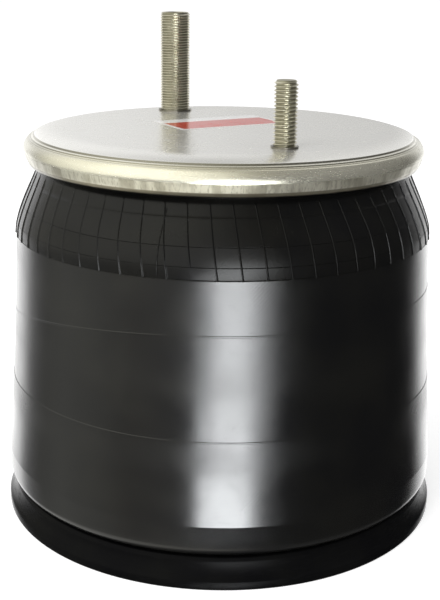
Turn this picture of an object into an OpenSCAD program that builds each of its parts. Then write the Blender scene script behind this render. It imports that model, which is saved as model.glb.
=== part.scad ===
// Rolling-lobe air spring, at rest on its inner bump stop, with no air in it.
// The axis is Z, the piston stands on Z = 0, and the two studs lie along Y.

/* [Bead plate] */
// Overall diameter of the bead plate, over its rolled rim
plate_d = 230; // [200:1:260]
// Height of the plate's flat top above the piston's foot
plate_top = 225; // [215:1:250]
// Thickness of the plate's steel
plate_t = 2.8; // [2:0.1:3.5]
// Radius of the rolled rim's section
rim_r = 8.2; // [7:0.1:10]
// How far the roll's crown lies below the flat top
rim_drop = 2.8; // [1.5:0.1:4]
// Width of the gently falling edge round the flat top
slope_w = 16.7; // [12:0.1:20]
// How far that edge falls
edge_drop = 2.5; // [1.5:0.1:3]
// How far the rim's lower corner lies inside its widest line
heel_in = 2.7; // [2:0.1:4]

/* [Studs] */
// Distance between the two studs
stud_gap = 157.5; // [140:0.5:165]
// Outer diameter of the air stud's thread
air_stud_d = 19.05; // [18:0.05:22]
// Height of the air stud above the plate
air_stud_h = 61; // [40:1:70]
// Diameter of the air port's threaded mouth
port_d = 11.2; // [10:0.1:12]
// Depth of the air port's threaded mouth
port_h = 16; // [12:1:20]
// Diameter of the air passage below the port
passage_d = 7; // [5:0.5:9]
// Outer diameter of the blind stud's thread
blind_stud_d = 12.7; // [10:0.1:16]
// Height of the blind stud above the plate
blind_stud_h = 34.5; // [25:0.5:45]
// Thickness of each stud's head, under the plate
head_t = 6; // [4:0.5:8]
// How far a stud's head stands out past its thread
head_lip = 5; // [4:0.5:7]
// Chamfer at each stud's top
stud_chamfer = 1.4; // [0.8:0.1:2]
// How far the shank below each thread is set in
relief = 0.6; // [0.3:0.1:1]
// How far the collar round each stud's foot stands out past the thread
collar_out = 1; // [0.6:0.1:1.5]
// Height of that collar above the plate
collar_h = 0.9; // [0.5:0.1:1.5]

/* [Sleeve] */
// Thickness of the sleeve's wall
wall = 6.5; // [5:0.1:8]
// Gap between the sleeve's inner and outer walls at the lobe
lobe_gap = 14.2; // [11:0.1:18]
// Outer diameter of the sleeve at the foot of the ribbed shoulder
shoulder_d = 241.4; // [236:0.2:246]
// Height of the ribbed shoulder, from its foot to the rim
shoulder_h = 39.8; // [34:0.2:42]
// Height of the lobe, from its lowest point to where the walls start
lobe_h = 18.7; // [16:0.1:24]
// Radius of the lobe's outer corners
lobe_r = 7; // [6.6:0.1:8]
// Diameter of the wire hoop's section in each bead
wire_d = 6; // [4:0.1:7]

/* [Moulded grid] */
// How many upright ribs stand round the shoulder
rib_n = 60; // [36:2:64]
// Width of each upright rib, as an angle
rib_angle = 0.45; // [0.3:0.05:0.8]
// How far the ribs and rings stand out
rib_out = 0.5; // [0.3:0.1:0.8]
// Height of each raised ring
ring_h = 0.9; // [0.6:0.1:1.4]
// Height of each parting line round the outer wall
line_h = 0.6; // [0.4:0.1:1]
// How far each parting line stands out
line_out = 0.25; // [0.15:0.05:0.4]
// Heights of the two parting lines above the piston's foot
line_z = [81.5, 137.5];

/* [Piston] */
// Outer diameter of the piston's wall, on which the sleeve rolls
piston_d = 203.2; // [196:0.2:206]
// Height of the piston's top face
piston_h = 150; // [130:1:155]
// Thickness of the piston's walls
piston_wall = 4.5; // [3.5:0.1:6]
// Height of the shelf on which the lobe comes to rest
shelf_z = 17; // [15:0.5:24]
// How far the flared skirt stands out past the lobe
skirt_out = 1.6; // [1:0.1:4]
// Height of the upright band at the skirt's foot
band_h = 4.6; // [3:0.1:6]
// Radius of the piston's top edge
top_r = 12; // [9:0.5:14]
// Outer diameter of the hub under the piston
hub_d = 120; // [112:1:124]
// How many webs join the hub to the wall
web_n = 24; // [16:2:28]
// Thickness of those webs
web_t = 3.2; // [2.5:0.1:4]
// Thickness of the hub's floor
floor_t = 10; // [8:0.5:14]

/* [Piston fixing] */
// Diameter of the circle on which the four threaded inserts stand
insert_pcd = 82; // [76:1:86]
// Outer diameter of a threaded insert
insert_d = 18; // [16:0.5:20]
// Diameter of an insert's thread, at its crests
insert_hole_d = 11.4; // [10:0.1:12.7]
// Length of an insert
insert_h = 26; // [20:1:30]
// Diameter of the long bolt through the piston
bolt_d = 15.9; // [12:0.1:18]
// Size of the bolt's head and nut, across their flats
hex_af = 24; // [22:0.5:27]
// Height of the bolt's head
bolt_head_h = 10; // [8:0.5:12]
// Height of the nut
nut_h = 13; // [10:0.5:15]
// Thickness of the washers
washer_t = 2.8; // [2:0.1:4]
// Outer diameter of the washers
washer_d = 34; // [32:1:38]

/* [End closure and bump stop] */
// Thickness of the end closure's steel
closure_t = 3.2; // [2.5:0.1:4]
// Inner diameter of the sleeve's lower bead
bead_bore = 136; // [130:1:140]
// Width of the lower bead, from its bore outwards
bead_w = 13; // [11:0.5:14]
// Height of the lower bead
bead_h = 11; // [9:0.5:12]
// Diameter of the bump stop at its foot
bumper_d = 84; // [76:1:92]
// Diameter of the post that holds the bump stop
post_d = 46; // [44:1:50]
// Height of that post
post_h = 34; // [30:1:38]

/* [Hidden] */
$fn = 96;

// Clearance between pieces that move past or only lie against each other
gap = 0.3;
// Radial clearance of a shaft in its hole
fit = 0.1;
// Steps in each rounded corner and each long curve
corner_n = 6;
curve_n = 14;

// Bead plate
plate_r = plate_d / 2;
roll_x = plate_r - rim_r;
roll_z = plate_top - rim_drop - rim_r;
rim_z = roll_z - rim_r;
slope_out = roll_x + 1.9;
slope_z = plate_top - edge_drop;
flat_r = slope_out - slope_w;
heel_r = plate_r - heel_in;
lip_r = roll_x - 0.7;
plate_under = plate_top - plate_t;
step_r = roll_x - 7.3;
step_z = roll_z + rim_r - plate_t;
lip_a = -95;

// Sleeve, from the plate down to the lobe
piston_r = piston_d / 2;
inner_r = piston_r + gap;
lobe_out = inner_r + 2 * wall + lobe_gap;
lobe_bottom = shelf_z + gap;
lobe_top = lobe_bottom + lobe_h;
shoulder_foot = rim_z - shoulder_h;
neck_r = roll_x - 1.2;
bead_in = neck_r - wall - 1.5;
bead_out = roll_x + rim_r - plate_t - gap - 0.6;
bead_top = step_z - gap;
bead_foot = rim_z + plate_t + gap;
neck_top = bead_foot;
mouth_z = rim_z - 2;

// Piston and what stands on it
deck_r = piston_r - top_r;
base_r = lobe_out + skirt_out;
hub_r = hub_d / 2;
hub_open = hub_r - piston_wall;
inner_wall = piston_r - piston_wall;
deck_z = piston_h - piston_wall - 2;
seat_z = piston_h;
bead_low = seat_z + gap;
bead_high = bead_low + bead_h;
bead_in_r = bead_bore / 2;
bead_out_r = bead_in_r + bead_w;
curl_z = piston_h - top_r;
cup_r = bead_in_r - gap;
cup_top = bead_high + gap + closure_t;
head_z = seat_z + closure_t + washer_t;
head_top = head_z + bolt_head_h;
nut_z = 3;
nut_top = nut_z + nut_h;
nut_seat = nut_top + washer_t;
boss_r = washer_d / 2 + 3;
hex_r = hex_af / 2 / cos(30);
post_foot = seat_z + closure_t;
post_top = post_foot + post_h;
post_r = post_d / 2;
bumper_r = bumper_d / 2;
bumper_top = plate_under - gap;
post_lip = post_r + 3.5;

function turn(a) = a > 180 ? a - 360 : a < -180 ? a + 360 : a;
function unit(v) = v / norm(v);

// Points of an arc about [x, z], from one angle to another
function arc(x, z, r, a, b, n = corner_n) =
  [for (i = [0:n]) let (t = a + (b - a) * i / n) [x + r * cos(t), z + r * sin(t)]];

// Points that round one corner b, between a and c, with radius r
function corner(a, b, c, r) =
  let (
    u = unit(a - b),
    w = unit(c - b),
    half = acos(u * w) / 2,
    back = r / tan(half),
    centre = b + unit(u + w) * r / sin(half),
    s = b + u * back - centre,
    e = b + w * back - centre,
    from = atan2(s[1], s[0]),
    sweep = turn(atan2(e[1], e[0]) - from)
  )
  arc(centre[0], centre[1], r, from, from + sweep);

function xz(p) = [p[0], p[1]];

// An outline of [x, z, r] points, each corner rounded with its own r
function rounded(p) =
  [for (i = [0:len(p) - 1])
    let (n = len(p), a = xz(p[(i + n - 1) % n]), b = xz(p[i]), c = xz(p[(i + 1) % n]))
    each (p[i][2] > 0 ? corner(a, b, c, p[i][2]) : [b])];

// A cubic curve through a and d, drawn towards b and c
function curve(a, b, c, d, n = curve_n) =
  [for (i = [0:n]) let (t = i / n, s = 1 - t)
    a * s * s * s + b * 3 * s * s * t + c * 3 * s * t * t + d * t * t * t];

// The same curve moved inwards, square to itself
function inward(p, by) =
  [for (i = [0:len(p) - 1])
    let (v = unit(p[min(i + 1, len(p) - 1)] - p[max(i - 1, 0)]))
    [p[i][0] + v[1] * by, p[i][1] - v[0] * by]];

function back(p) = [for (i = [len(p) - 1:-1:0]) p[i]];

// Radius of a falling curve at a height
function at(p, z) =
  let (k = [for (i = [0:len(p) - 2]) if (p[i][1] >= z && p[i + 1][1] < z) i][0])
  p[k][0] + (p[k + 1][0] - p[k][0]) * (p[k][1] - z) / (p[k][1] - p[k + 1][1]);

module revolve(points) rotate_extrude() polygon(points);

module ring(d_out, d_in, h) {
  difference() {
    cylinder(d = d_out, h = h);
    translate([0, 0, -1]) cylinder(d = d_in, h = h + 2);
  }
}

// Outer curves of the sleeve, from the top down
shoulder_top = [neck_r + 1.8, mouth_z];
shoulder_low = [shoulder_d / 2, shoulder_foot];
lobe_side = [lobe_out, lobe_top];
shoulder_curve = curve(
  shoulder_top,
  shoulder_top + [2.6, -0.21 * shoulder_h],
  shoulder_low + [-1.6, 0.38 * shoulder_h],
  shoulder_low
);
wall_drop = shoulder_foot - lobe_top;
wall_curve = curve(
  shoulder_low,
  shoulder_low + [0.9, -0.29 * wall_drop],
  lobe_side + [-3, 0.23 * wall_drop],
  lobe_side
);

// Height of each raised ring of the grid above the shoulder's foot
ring_z = [for (k = [0, 0.16, 0.41, 0.73]) shoulder_foot + 0.3 + k * shoulder_h];

module bead_plate() {
  slope = curve(
    [flat_r, plate_top],
    [flat_r + slope_w * 0.42, plate_top],
    [slope_out - slope_w * 0.25, slope_z + edge_drop * 0.58],
    [slope_out, slope_z],
    8
  );
  skin = concat(
    [[0, plate_top]],
    slope,
    arc(roll_x, roll_z, rim_r, 66, -30, 9),
    [[heel_r, rim_z + 0.7], [heel_r - 0.9, rim_z], [lip_r, rim_z]]
  );
  under = concat(
    arc(roll_x, roll_z, rim_r - plate_t, lip_a, 90, 14),
    [[step_r + 2.5, step_z], [step_r, plate_under], [0, plate_under]]
  );
  color("silver")
  difference() {
    revolve(concat(skin, under));
    stud_hole(1, air_stud_d);
    stud_hole(-1, blind_stud_d);
  }
}

module stud_hole(side, d) {
  translate([0, side * stud_gap / 2, plate_under - 1])
    cylinder(d = d + 2 * (collar_out + fit), h = plate_t + 2);
}

// Head under the plate, shank through the collar, and the thread above it
module stud_solid(d, h) {
  r = d / 2;
  head_r = r + head_lip;
  thread_z = collar_h + fit;
  revolve([
    [0, -plate_t - head_t],
    [head_r - 1, -plate_t - head_t],
    [head_r, -plate_t - head_t + 1],
    [head_r, -plate_t],
    [r - relief, -plate_t],
    [r - relief, thread_z],
    [r, thread_z],
    [r, h - stud_chamfer],
    [r - stud_chamfer, h],
    [0, h]
  ]);
}

module air_stud() {
  color("tan")
  translate([0, stud_gap / 2, plate_top])
  difference() {
    stud_solid(air_stud_d, air_stud_h);
    translate([0, 0, air_stud_h - port_h]) cylinder(d = port_d, h = port_h + 1);
    translate([0, 0, -plate_t - head_t - 1]) cylinder(d = passage_d, h = air_stud_h + head_t);
  }
}

module blind_stud() {
  color("tan")
  translate([0, -stud_gap / 2, plate_top])
    stud_solid(blind_stud_d, blind_stud_h);
}

// Collar that fills the plate's hole round a stud and shows as a thin ring
module collar(side, d) {
  translate([0, side * stud_gap / 2, plate_under])
    ring(d + 2 * collar_out, d - 2 * (relief - fit), plate_t + collar_h);
}

module air_stud_ring() {
  color("dimgray") collar(1, air_stud_d);
}

module blind_stud_ring() {
  color("dimgray") collar(-1, blind_stud_d);
}

// The bead's section, which the rolled rim grips
module upper_bead() {
  wire_z = (bead_top + bead_foot) / 2;
  color("black")
  difference() {
    revolve(rounded([
      [bead_in, bead_foot, 2],
      [roll_x, bead_foot, 1],
      [bead_out, bead_foot + 2, 2],
      [bead_out, bead_top - 3, 2.5],
      [roll_x + 1, bead_top, 2],
      [bead_in, bead_top, 2]
    ]));
    translate([0, 0, wire_z]) wire_hoop(bead_in + (bead_out - bead_in) / 2, wire_d / 2 + gap / 6);
  }
}

module wire_hoop(r, section_r) {
  rotate_extrude() translate([r, 0]) circle(r = section_r, $fn = 32);
}

module upper_bead_wire() {
  color("goldenrod")
  translate([0, 0, (bead_top + bead_foot) / 2])
    wire_hoop(bead_in + (bead_out - bead_in) / 2, wire_d / 2);
}

// The ribbed band below the rim, with its raised rings and upright ribs
module sleeve_shoulder() {
  inner = inward(shoulder_curve, wall);
  color("black")
  union() {
    revolve(concat(
      [[neck_r - wall, neck_top], [neck_r, neck_top], [neck_r, mouth_z + 1.5]],
      shoulder_curve,
      [[shoulder_low[0] - wall, shoulder_foot]],
      back([for (p = inner) if (p[1] > shoulder_foot + 1 && p[1] < mouth_z - 1) p]),
      [[neck_r - wall, mouth_z]]
    ));
    for (z = ring_z) grid_ring(z);
    for (i = [0:rib_n - 1]) rotate([0, 0, i * 360 / rib_n]) grid_rib();
  }
}

module grid_ring(z) {
  low = at(shoulder_curve, z + 0.01);
  high = at(shoulder_curve, z + ring_h);
  revolve([
    [low - 0.6, z],
    [low + rib_out, z],
    [high + rib_out, z + ring_h],
    [high - 0.6, z + ring_h]
  ]);
}

module grid_rib() {
  line = [for (i = [2:2:curve_n - 2]) shoulder_curve[i]];
  foot = [shoulder_low + [0, 0.3]];
  out = inward(concat(line, foot), -rib_out);
  within = inward(concat(line, foot), 0.6);
  lowest = shoulder_foot + 0.3;
  rotate([0, 0, -rib_angle / 2])
  rotate_extrude(angle = rib_angle)
    polygon(concat(
      [for (p = out) [p[0], max(p[1], lowest)]],
      back([for (p = within) [p[0], max(p[1], lowest)]])
    ));
}

module sleeve_outer_wall() {
  top = shoulder_foot - gap / 3;
  low = lobe_top + gap;
  outer = [for (p = wall_curve) if (p[1] < top - 1 && p[1] > low + 1) p];
  color("black")
  union() {
    revolve(concat(
      [[shoulder_low[0], top]],
      outer,
      [[lobe_out, low], [lobe_out - wall, low]],
      back([for (p = outer) p - [wall, 0]]),
      [[shoulder_low[0] - wall, top]]
    ));
    for (z = line_z) parting_line(z);
  }
}

module parting_line(z) {
  r = at(wall_curve, z);
  revolve([
    [r - 0.6, z],
    [r + line_out, z],
    [r + line_out, z + line_h],
    [r - 0.6, z + line_h]
  ]);
}

module sleeve_lobe() {
  inside = max(lobe_r - wall, 0.4);
  color("black")
  revolve(rounded([
    [inner_r, lobe_top, 0],
    [inner_r, lobe_bottom, lobe_r],
    [lobe_out, lobe_bottom, lobe_r],
    [lobe_out, lobe_top, 0],
    [lobe_out - wall, lobe_top, 0],
    [lobe_out - wall, lobe_bottom + wall, inside],
    [inner_r + wall, lobe_bottom + wall, inside],
    [inner_r + wall, lobe_top, 0]
  ]));
}

module sleeve_inner_wall() {
  color("black")
  translate([0, 0, lobe_top + gap])
    ring(2 * (inner_r + wall), 2 * inner_r, curl_z - lobe_top - 2 * gap);
}

// The sleeve turned over the piston's top edge, with its lower bead
module sleeve_neck() {
  wire_z = (bead_low + bead_high) / 2;
  color("black")
  difference() {
    revolve(concat(
      arc(deck_r, curl_z, top_r + gap, 0, 90, 8),
      rounded([
        [deck_r - 1, bead_low, 0],
        [bead_in_r, bead_low, 2],
        [bead_in_r, bead_high, 3],
        [bead_out_r, bead_high, 3],
        [bead_out_r + 2.5, bead_low + wall, 2],
        [deck_r - 1, bead_low + wall, 0]
      ]),
      arc(deck_r, curl_z, top_r + gap + wall, 90, 0, 8)
    ));
    translate([0, 0, wire_z]) wire_hoop(bead_in_r + bead_w / 2, wire_d / 2 + gap / 6);
  }
}

module lower_bead_wire() {
  color("goldenrod")
  translate([0, 0, (bead_low + bead_high) / 2])
    wire_hoop(bead_in_r + bead_w / 2, wire_d / 2);
}

// Pressed steel disc, turned up inside the bead and out over it
module end_closure() {
  hole_r = bolt_d / 2 + 1.2;
  flange_r = bead_out_r - 1;
  color("darkgray")
  revolve(rounded([
    [hole_r, seat_z, 0],
    [cup_r, seat_z, 1.5],
    [cup_r, bead_high + gap, 1],
    [flange_r, bead_high + gap, 0.5],
    [flange_r, cup_top, 1],
    [cup_r - closure_t, cup_top, 3],
    [cup_r - closure_t, seat_z + closure_t, 2],
    [hole_r, seat_z + closure_t, 0]
  ]));
}

// Outer wall of the piston, with its deck, the shelf and the flared skirt
module piston() {
  foot = curve(
    [base_r - 4.1, shelf_z - 1],
    [base_r - 3.4, shelf_z * 0.62],
    [base_r - 1.8, band_h + 2.4],
    [base_r, band_h],
    8
  );
  shelf = rounded([
    [piston_r, shelf_z + 40, 0],
    [piston_r, shelf_z, lobe_r - 0.5],
    [base_r - 4.4, shelf_z, 1.2],
    [base_r - 4.1, shelf_z - 2, 0]
  ]);
  color([0.09, 0.09, 0.1])
  revolve(concat(
    [[hub_open, piston_h]],
    arc(deck_r, curl_z, top_r, 90, 0, 8),
    [for (i = [0:len(shelf) - 2]) shelf[i]],
    foot,
    [
      [base_r, 0],
      [base_r - piston_wall, 0],
      [base_r - piston_wall, band_h],
      [base_r - piston_wall - 4, shelf_z - piston_wall],
      [piston_r, shelf_z - piston_wall],
      [piston_r, 0],
      [inner_wall, 0],
      [inner_wall, curl_z],
      [deck_r, deck_z],
      [hub_open, deck_z]
    ]
  ));
}

// Closed hub in the middle, with the seats of the bolt, the nut and the inserts
module piston_hub() {
  color([0.09, 0.09, 0.1])
  difference() {
    union() {
      cylinder(r = hub_r, h = floor_t);
      ring(2 * hub_r, 2 * hub_open, deck_z);
      cylinder(r = boss_r, h = piston_h);
      at_inserts() cylinder(d = insert_d + 7, h = insert_h + 4);
    }
    translate([0, 0, -1]) cylinder(d = bolt_d + 2 * fit, h = piston_h + 2);
    translate([0, 0, -1]) cylinder(d = washer_d + 2, h = nut_seat + 1);
    at_inserts() translate([0, 0, -1]) cylinder(d = insert_d + 2 * fit, h = insert_h + 1);
  }
}

module at_inserts() {
  for (a = [45:90:315]) rotate([0, 0, a]) translate([insert_pcd / 2, 0, 0]) children();
}

// Upright webs between the hub and the wall
module piston_webs() {
  to = sqrt(inner_wall * inner_wall - web_t * web_t / 4) - fit;
  color([0.09, 0.09, 0.1])
  for (i = [0:web_n - 1]) rotate([0, 0, (i + 0.5) * 360 / web_n])
    translate([0, web_t / 2, 0]) rotate([90, 0, 0])
      linear_extrude(web_t) polygon([
        [hub_r + fit, 2],
        [to, 2],
        [to, curl_z],
        [deck_r, deck_z - fit],
        [hub_r + fit, deck_z - fit]
      ]);
}

module piston_inserts() {
  color("gold")
  at_inserts() ring(insert_d, insert_hole_d, insert_h);
}

module hexagon(r, h) cylinder(r = r, h = h, $fn = 6);

module piston_bolt() {
  color("silver")
  union() {
    translate([0, 0, head_z]) hexagon(hex_r, bolt_head_h);
    translate([0, 0, nut_z - 1]) cylinder(d = bolt_d, h = head_z - nut_z + 2);
  }
}

module bolt_washer() {
  color("gray")
  translate([0, 0, seat_z + closure_t]) ring(washer_d, bolt_d + 2 * fit, washer_t);
}

// Rubber ring round the bolt, in the end closure's hole
module bolt_seal() {
  color("black")
  translate([0, 0, seat_z + 0.1])
    ring(bolt_d + 2.2, bolt_d + 2 * fit, closure_t - 0.2);
}

module nut_washer() {
  color("gray")
  translate([0, 0, nut_top]) ring(washer_d, bolt_d + 2 * fit, washer_t);
}

module piston_nut() {
  color("gray")
  translate([0, 0, nut_z])
  difference() {
    hexagon(hex_r, nut_h);
    translate([0, 0, -1]) cylinder(d = bolt_d + 2 * fit, h = nut_h + 2);
  }
}

// Post over the bolt's head, with a lip that holds the bump stop
module bumper_base() {
  flange_r = bumper_r - 4;
  room_r = washer_d / 2 + 1;
  color("dimgray")
  difference() {
    revolve(rounded([
      [0, post_foot, 0],
      [flange_r, post_foot, 0],
      [flange_r, post_foot + 4, 1],
      [post_r, post_foot + 4, 2],
      [post_r, post_top - 8, 1],
      [post_lip, post_top - 5, 1.5],
      [post_r - 3, post_top, 1.5],
      [0, post_top, 0]
    ]));
    translate([0, 0, post_foot - 1]) cylinder(r = room_r, h = head_top - post_foot + 3);
  }
}

// Rubber bump stop, pressed over the post's lip
module bumper() {
  low = post_foot + 4 + gap;
  waist_z = low + (bumper_top - low) * 0.42;
  color([0.2, 0.2, 0.2])
  revolve(rounded([
    [post_r + gap, low, 1],
    [bumper_r - 4, low, 2],
    [bumper_r, low + 9, 4],
    [bumper_r - 7, waist_z, 3],
    [bumper_r - 3, waist_z + 9, 5],
    [bumper_r - 12, bumper_top, 7],
    [0, bumper_top, 0],
    [0, post_top + gap, 0],
    [post_r - 2.6, post_top + gap, 1],
    [post_lip + gap, post_top - 5, 1],
    [post_r + gap, post_top - 8, 1]
  ]));
}

bead_plate();
air_stud();
air_stud_ring();
blind_stud();
blind_stud_ring();
upper_bead();
upper_bead_wire();
sleeve_shoulder();
sleeve_outer_wall();
sleeve_lobe();
sleeve_inner_wall();
sleeve_neck();
lower_bead_wire();
end_closure();
piston();
piston_hub();
piston_webs();
piston_inserts();
piston_bolt();
bolt_washer();
bolt_seal();
nut_washer();
piston_nut();
bumper_base();
bumper();
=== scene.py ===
import bmesh
import bpy
from math import atan2, cos, hypot, pi, radians, sin
from mathutils import Matrix, Vector


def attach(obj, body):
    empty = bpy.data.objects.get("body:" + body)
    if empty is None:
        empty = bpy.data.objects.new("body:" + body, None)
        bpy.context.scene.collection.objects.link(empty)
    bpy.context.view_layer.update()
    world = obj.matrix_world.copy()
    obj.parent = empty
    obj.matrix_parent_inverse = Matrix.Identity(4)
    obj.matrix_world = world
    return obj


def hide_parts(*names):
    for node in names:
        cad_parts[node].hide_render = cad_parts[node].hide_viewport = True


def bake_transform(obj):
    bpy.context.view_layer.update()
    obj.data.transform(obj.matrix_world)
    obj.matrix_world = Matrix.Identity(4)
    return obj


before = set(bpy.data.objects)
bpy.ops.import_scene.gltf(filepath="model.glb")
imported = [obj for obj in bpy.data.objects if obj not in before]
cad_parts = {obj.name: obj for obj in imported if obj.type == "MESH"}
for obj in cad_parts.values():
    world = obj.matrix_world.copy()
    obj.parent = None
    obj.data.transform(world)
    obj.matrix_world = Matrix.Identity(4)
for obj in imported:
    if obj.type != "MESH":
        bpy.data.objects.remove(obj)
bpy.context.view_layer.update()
scene = bpy.context.scene
scene.view_settings.view_transform = "Standard"
mm = 0.001


# outlines are lists of (radius, height) in millimetres
def arc(centre, radius, start, stop, steps):
    turn = radians(stop - start) / steps
    return [(centre[0] + radius * cos(radians(start) + turn * i),
             centre[1] + radius * sin(radians(start) + turn * i)) for i in range(steps + 1)]


def cubic(a, b, c, d, steps):
    points = []
    for i in range(steps + 1):
        t = i / steps
        s = 1 - t
        points.append(tuple(a[k] * s ** 3 + 3 * b[k] * s * s * t + 3 * c[k] * s * t * t + d[k] * t ** 3
                            for k in (0, 1)))
    return points


def offset(outline, by):  # the same falling line moved outwards
    moved = []
    for i, point in enumerate(outline):
        before = outline[max(i - 1, 0)]
        after = outline[min(i + 1, len(outline) - 1)]
        along = Vector((after[0] - before[0], after[1] - before[1])).normalized()
        moved.append((point[0] - along.y * by, point[1] + along.x * by))
    return moved


def radiusAt(outline, z):  # of a falling line
    for (r1, z1), (r2, z2) in zip(outline, outline[1:]):
        if z1 >= z >= z2:
            return r1 + (r2 - r1) * (z1 - z) / max(z1 - z2, 1e-9)
    return outline[0][0] if z > outline[0][1] else outline[-1][0]


def smooth(low, high, value):
    t = min(1.0, max(0.0, (value - low) / (high - low)))
    return t * t * (3 - 2 * t)


def drawOutline(bm, outline, closed=False, centre=(0, 0)):
    points = [bm.verts.new((centre[0] * mm + r * mm, centre[1] * mm, z * mm)) for r, z in outline]
    lines = [bm.edges.new(pair) for pair in zip(points, points[1:])]
    if closed:
        lines.append(bm.edges.new((points[-1], points[0])))
    return points + lines


def lathe(bm, outline, closed=False, steps=240, centre=(0, 0)):
    bmesh.ops.spin(bm, geom=drawOutline(bm, outline, closed, centre),
                   cent=(centre[0] * mm, centre[1] * mm, 0), axis=(0, 0, 1),
                   angle=2 * pi, steps=steps, use_merge=True)


def finishMesh(bm, name, material, body=None, stands=(), sharp=35):
    bmesh.ops.remove_doubles(bm, verts=bm.verts, dist=2e-6)
    bmesh.ops.recalc_face_normals(bm, faces=bm.faces)
    mesh = bpy.data.meshes.new(name)
    bm.to_mesh(mesh)
    bm.free()
    mesh.polygons.foreach_set("use_smooth", [True] * len(mesh.polygons))
    mesh.set_sharp_from_angle(angle=radians(sharp))
    piece = bpy.data.objects.new(name, mesh)
    scene.collection.objects.link(piece)
    for finish in material if isinstance(material, (list, tuple)) else [material]:
        mesh.materials.append(finish)
    if body:
        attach(piece, body)
    if stands:
        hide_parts(*stands)
    print("made", name, len(mesh.polygons), "faces")
    return piece


# camera, at the photograph's angle; azimuth turns its side of the object to 0 degrees
view = {"place": (-0.2575, -0.5900, 0.3166), "target": (0, 0, 0.1201), "lens": 66.54, "roll": 0.78,
        "shift": -0.00267, "azimuth": 113.58}
aim = (Vector(view["target"]) - Vector(view["place"])).to_track_quat("-Z", "Y").to_matrix().to_4x4()
camera = bpy.data.objects.new("camera", bpy.data.cameras.new("camera"))
camera.matrix_world = Matrix.Translation(view["place"]) @ aim @ Matrix.Rotation(radians(view["roll"]), 4, "Z")
camera.data.lens = view["lens"]
camera.data.shift_x = view["shift"]
camera.data.clip_end = 40
scene.collection.objects.link(camera)
scene.camera = camera


# shader nodes
def put(tree, kind, inputs=None, **settings):  # a node with its settings, values and links
    made = tree.nodes.new(kind)
    for key, value in settings.items():
        setattr(made, key, value)
    for key, value in (inputs or {}).items():
        if isinstance(value, bpy.types.NodeSocket):
            tree.links.new(value, made.inputs[key])
        else:
            made.inputs[key].default_value = value
    return made


def link(tree, value, socket):
    tree.links.new(value, socket)


def calc(tree, operation, a, b=0.0):
    return put(tree, "ShaderNodeMath", {0: a, 1: b}, operation=operation).outputs[0]


def between(tree, value, low, high, toLow=0.0, toHigh=1.0):  # a smooth step from low to high
    return put(tree, "ShaderNodeMapRange", {"Value": value, "From Min": low, "From Max": high,
                                            "To Min": toLow, "To Max": toHigh},
               interpolation_type="SMOOTHSTEP").outputs["Result"]


def ramp(tree, factor, stops):
    made = put(tree, "ShaderNodeValToRGB", {"Fac": factor})
    marks = made.color_ramp.elements
    while len(marks) < len(stops):
        marks.new(0.5)
    for mark, (place, colour) in zip(marks, stops):
        mark.position = place
        mark.color = (*colour, 1) if isinstance(colour, tuple) else (colour, colour, colour, 1)
    return made.outputs["Color"]


def noise(tree, where, scale, detail=2.0, roughness=0.5):
    return put(tree, "ShaderNodeTexNoise", {"Vector": where, "Scale": scale, "Detail": detail,
                                            "Roughness": roughness}).outputs["Fac"]


def blendColours(tree, factor, a, b, mode="MIX"):
    return put(tree, "ShaderNodeMix", {0: factor, 6: a, 7: b}, data_type="RGBA", blend_type=mode).outputs[2]


def rgb(*colour):
    return (*colour, 1)


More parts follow.
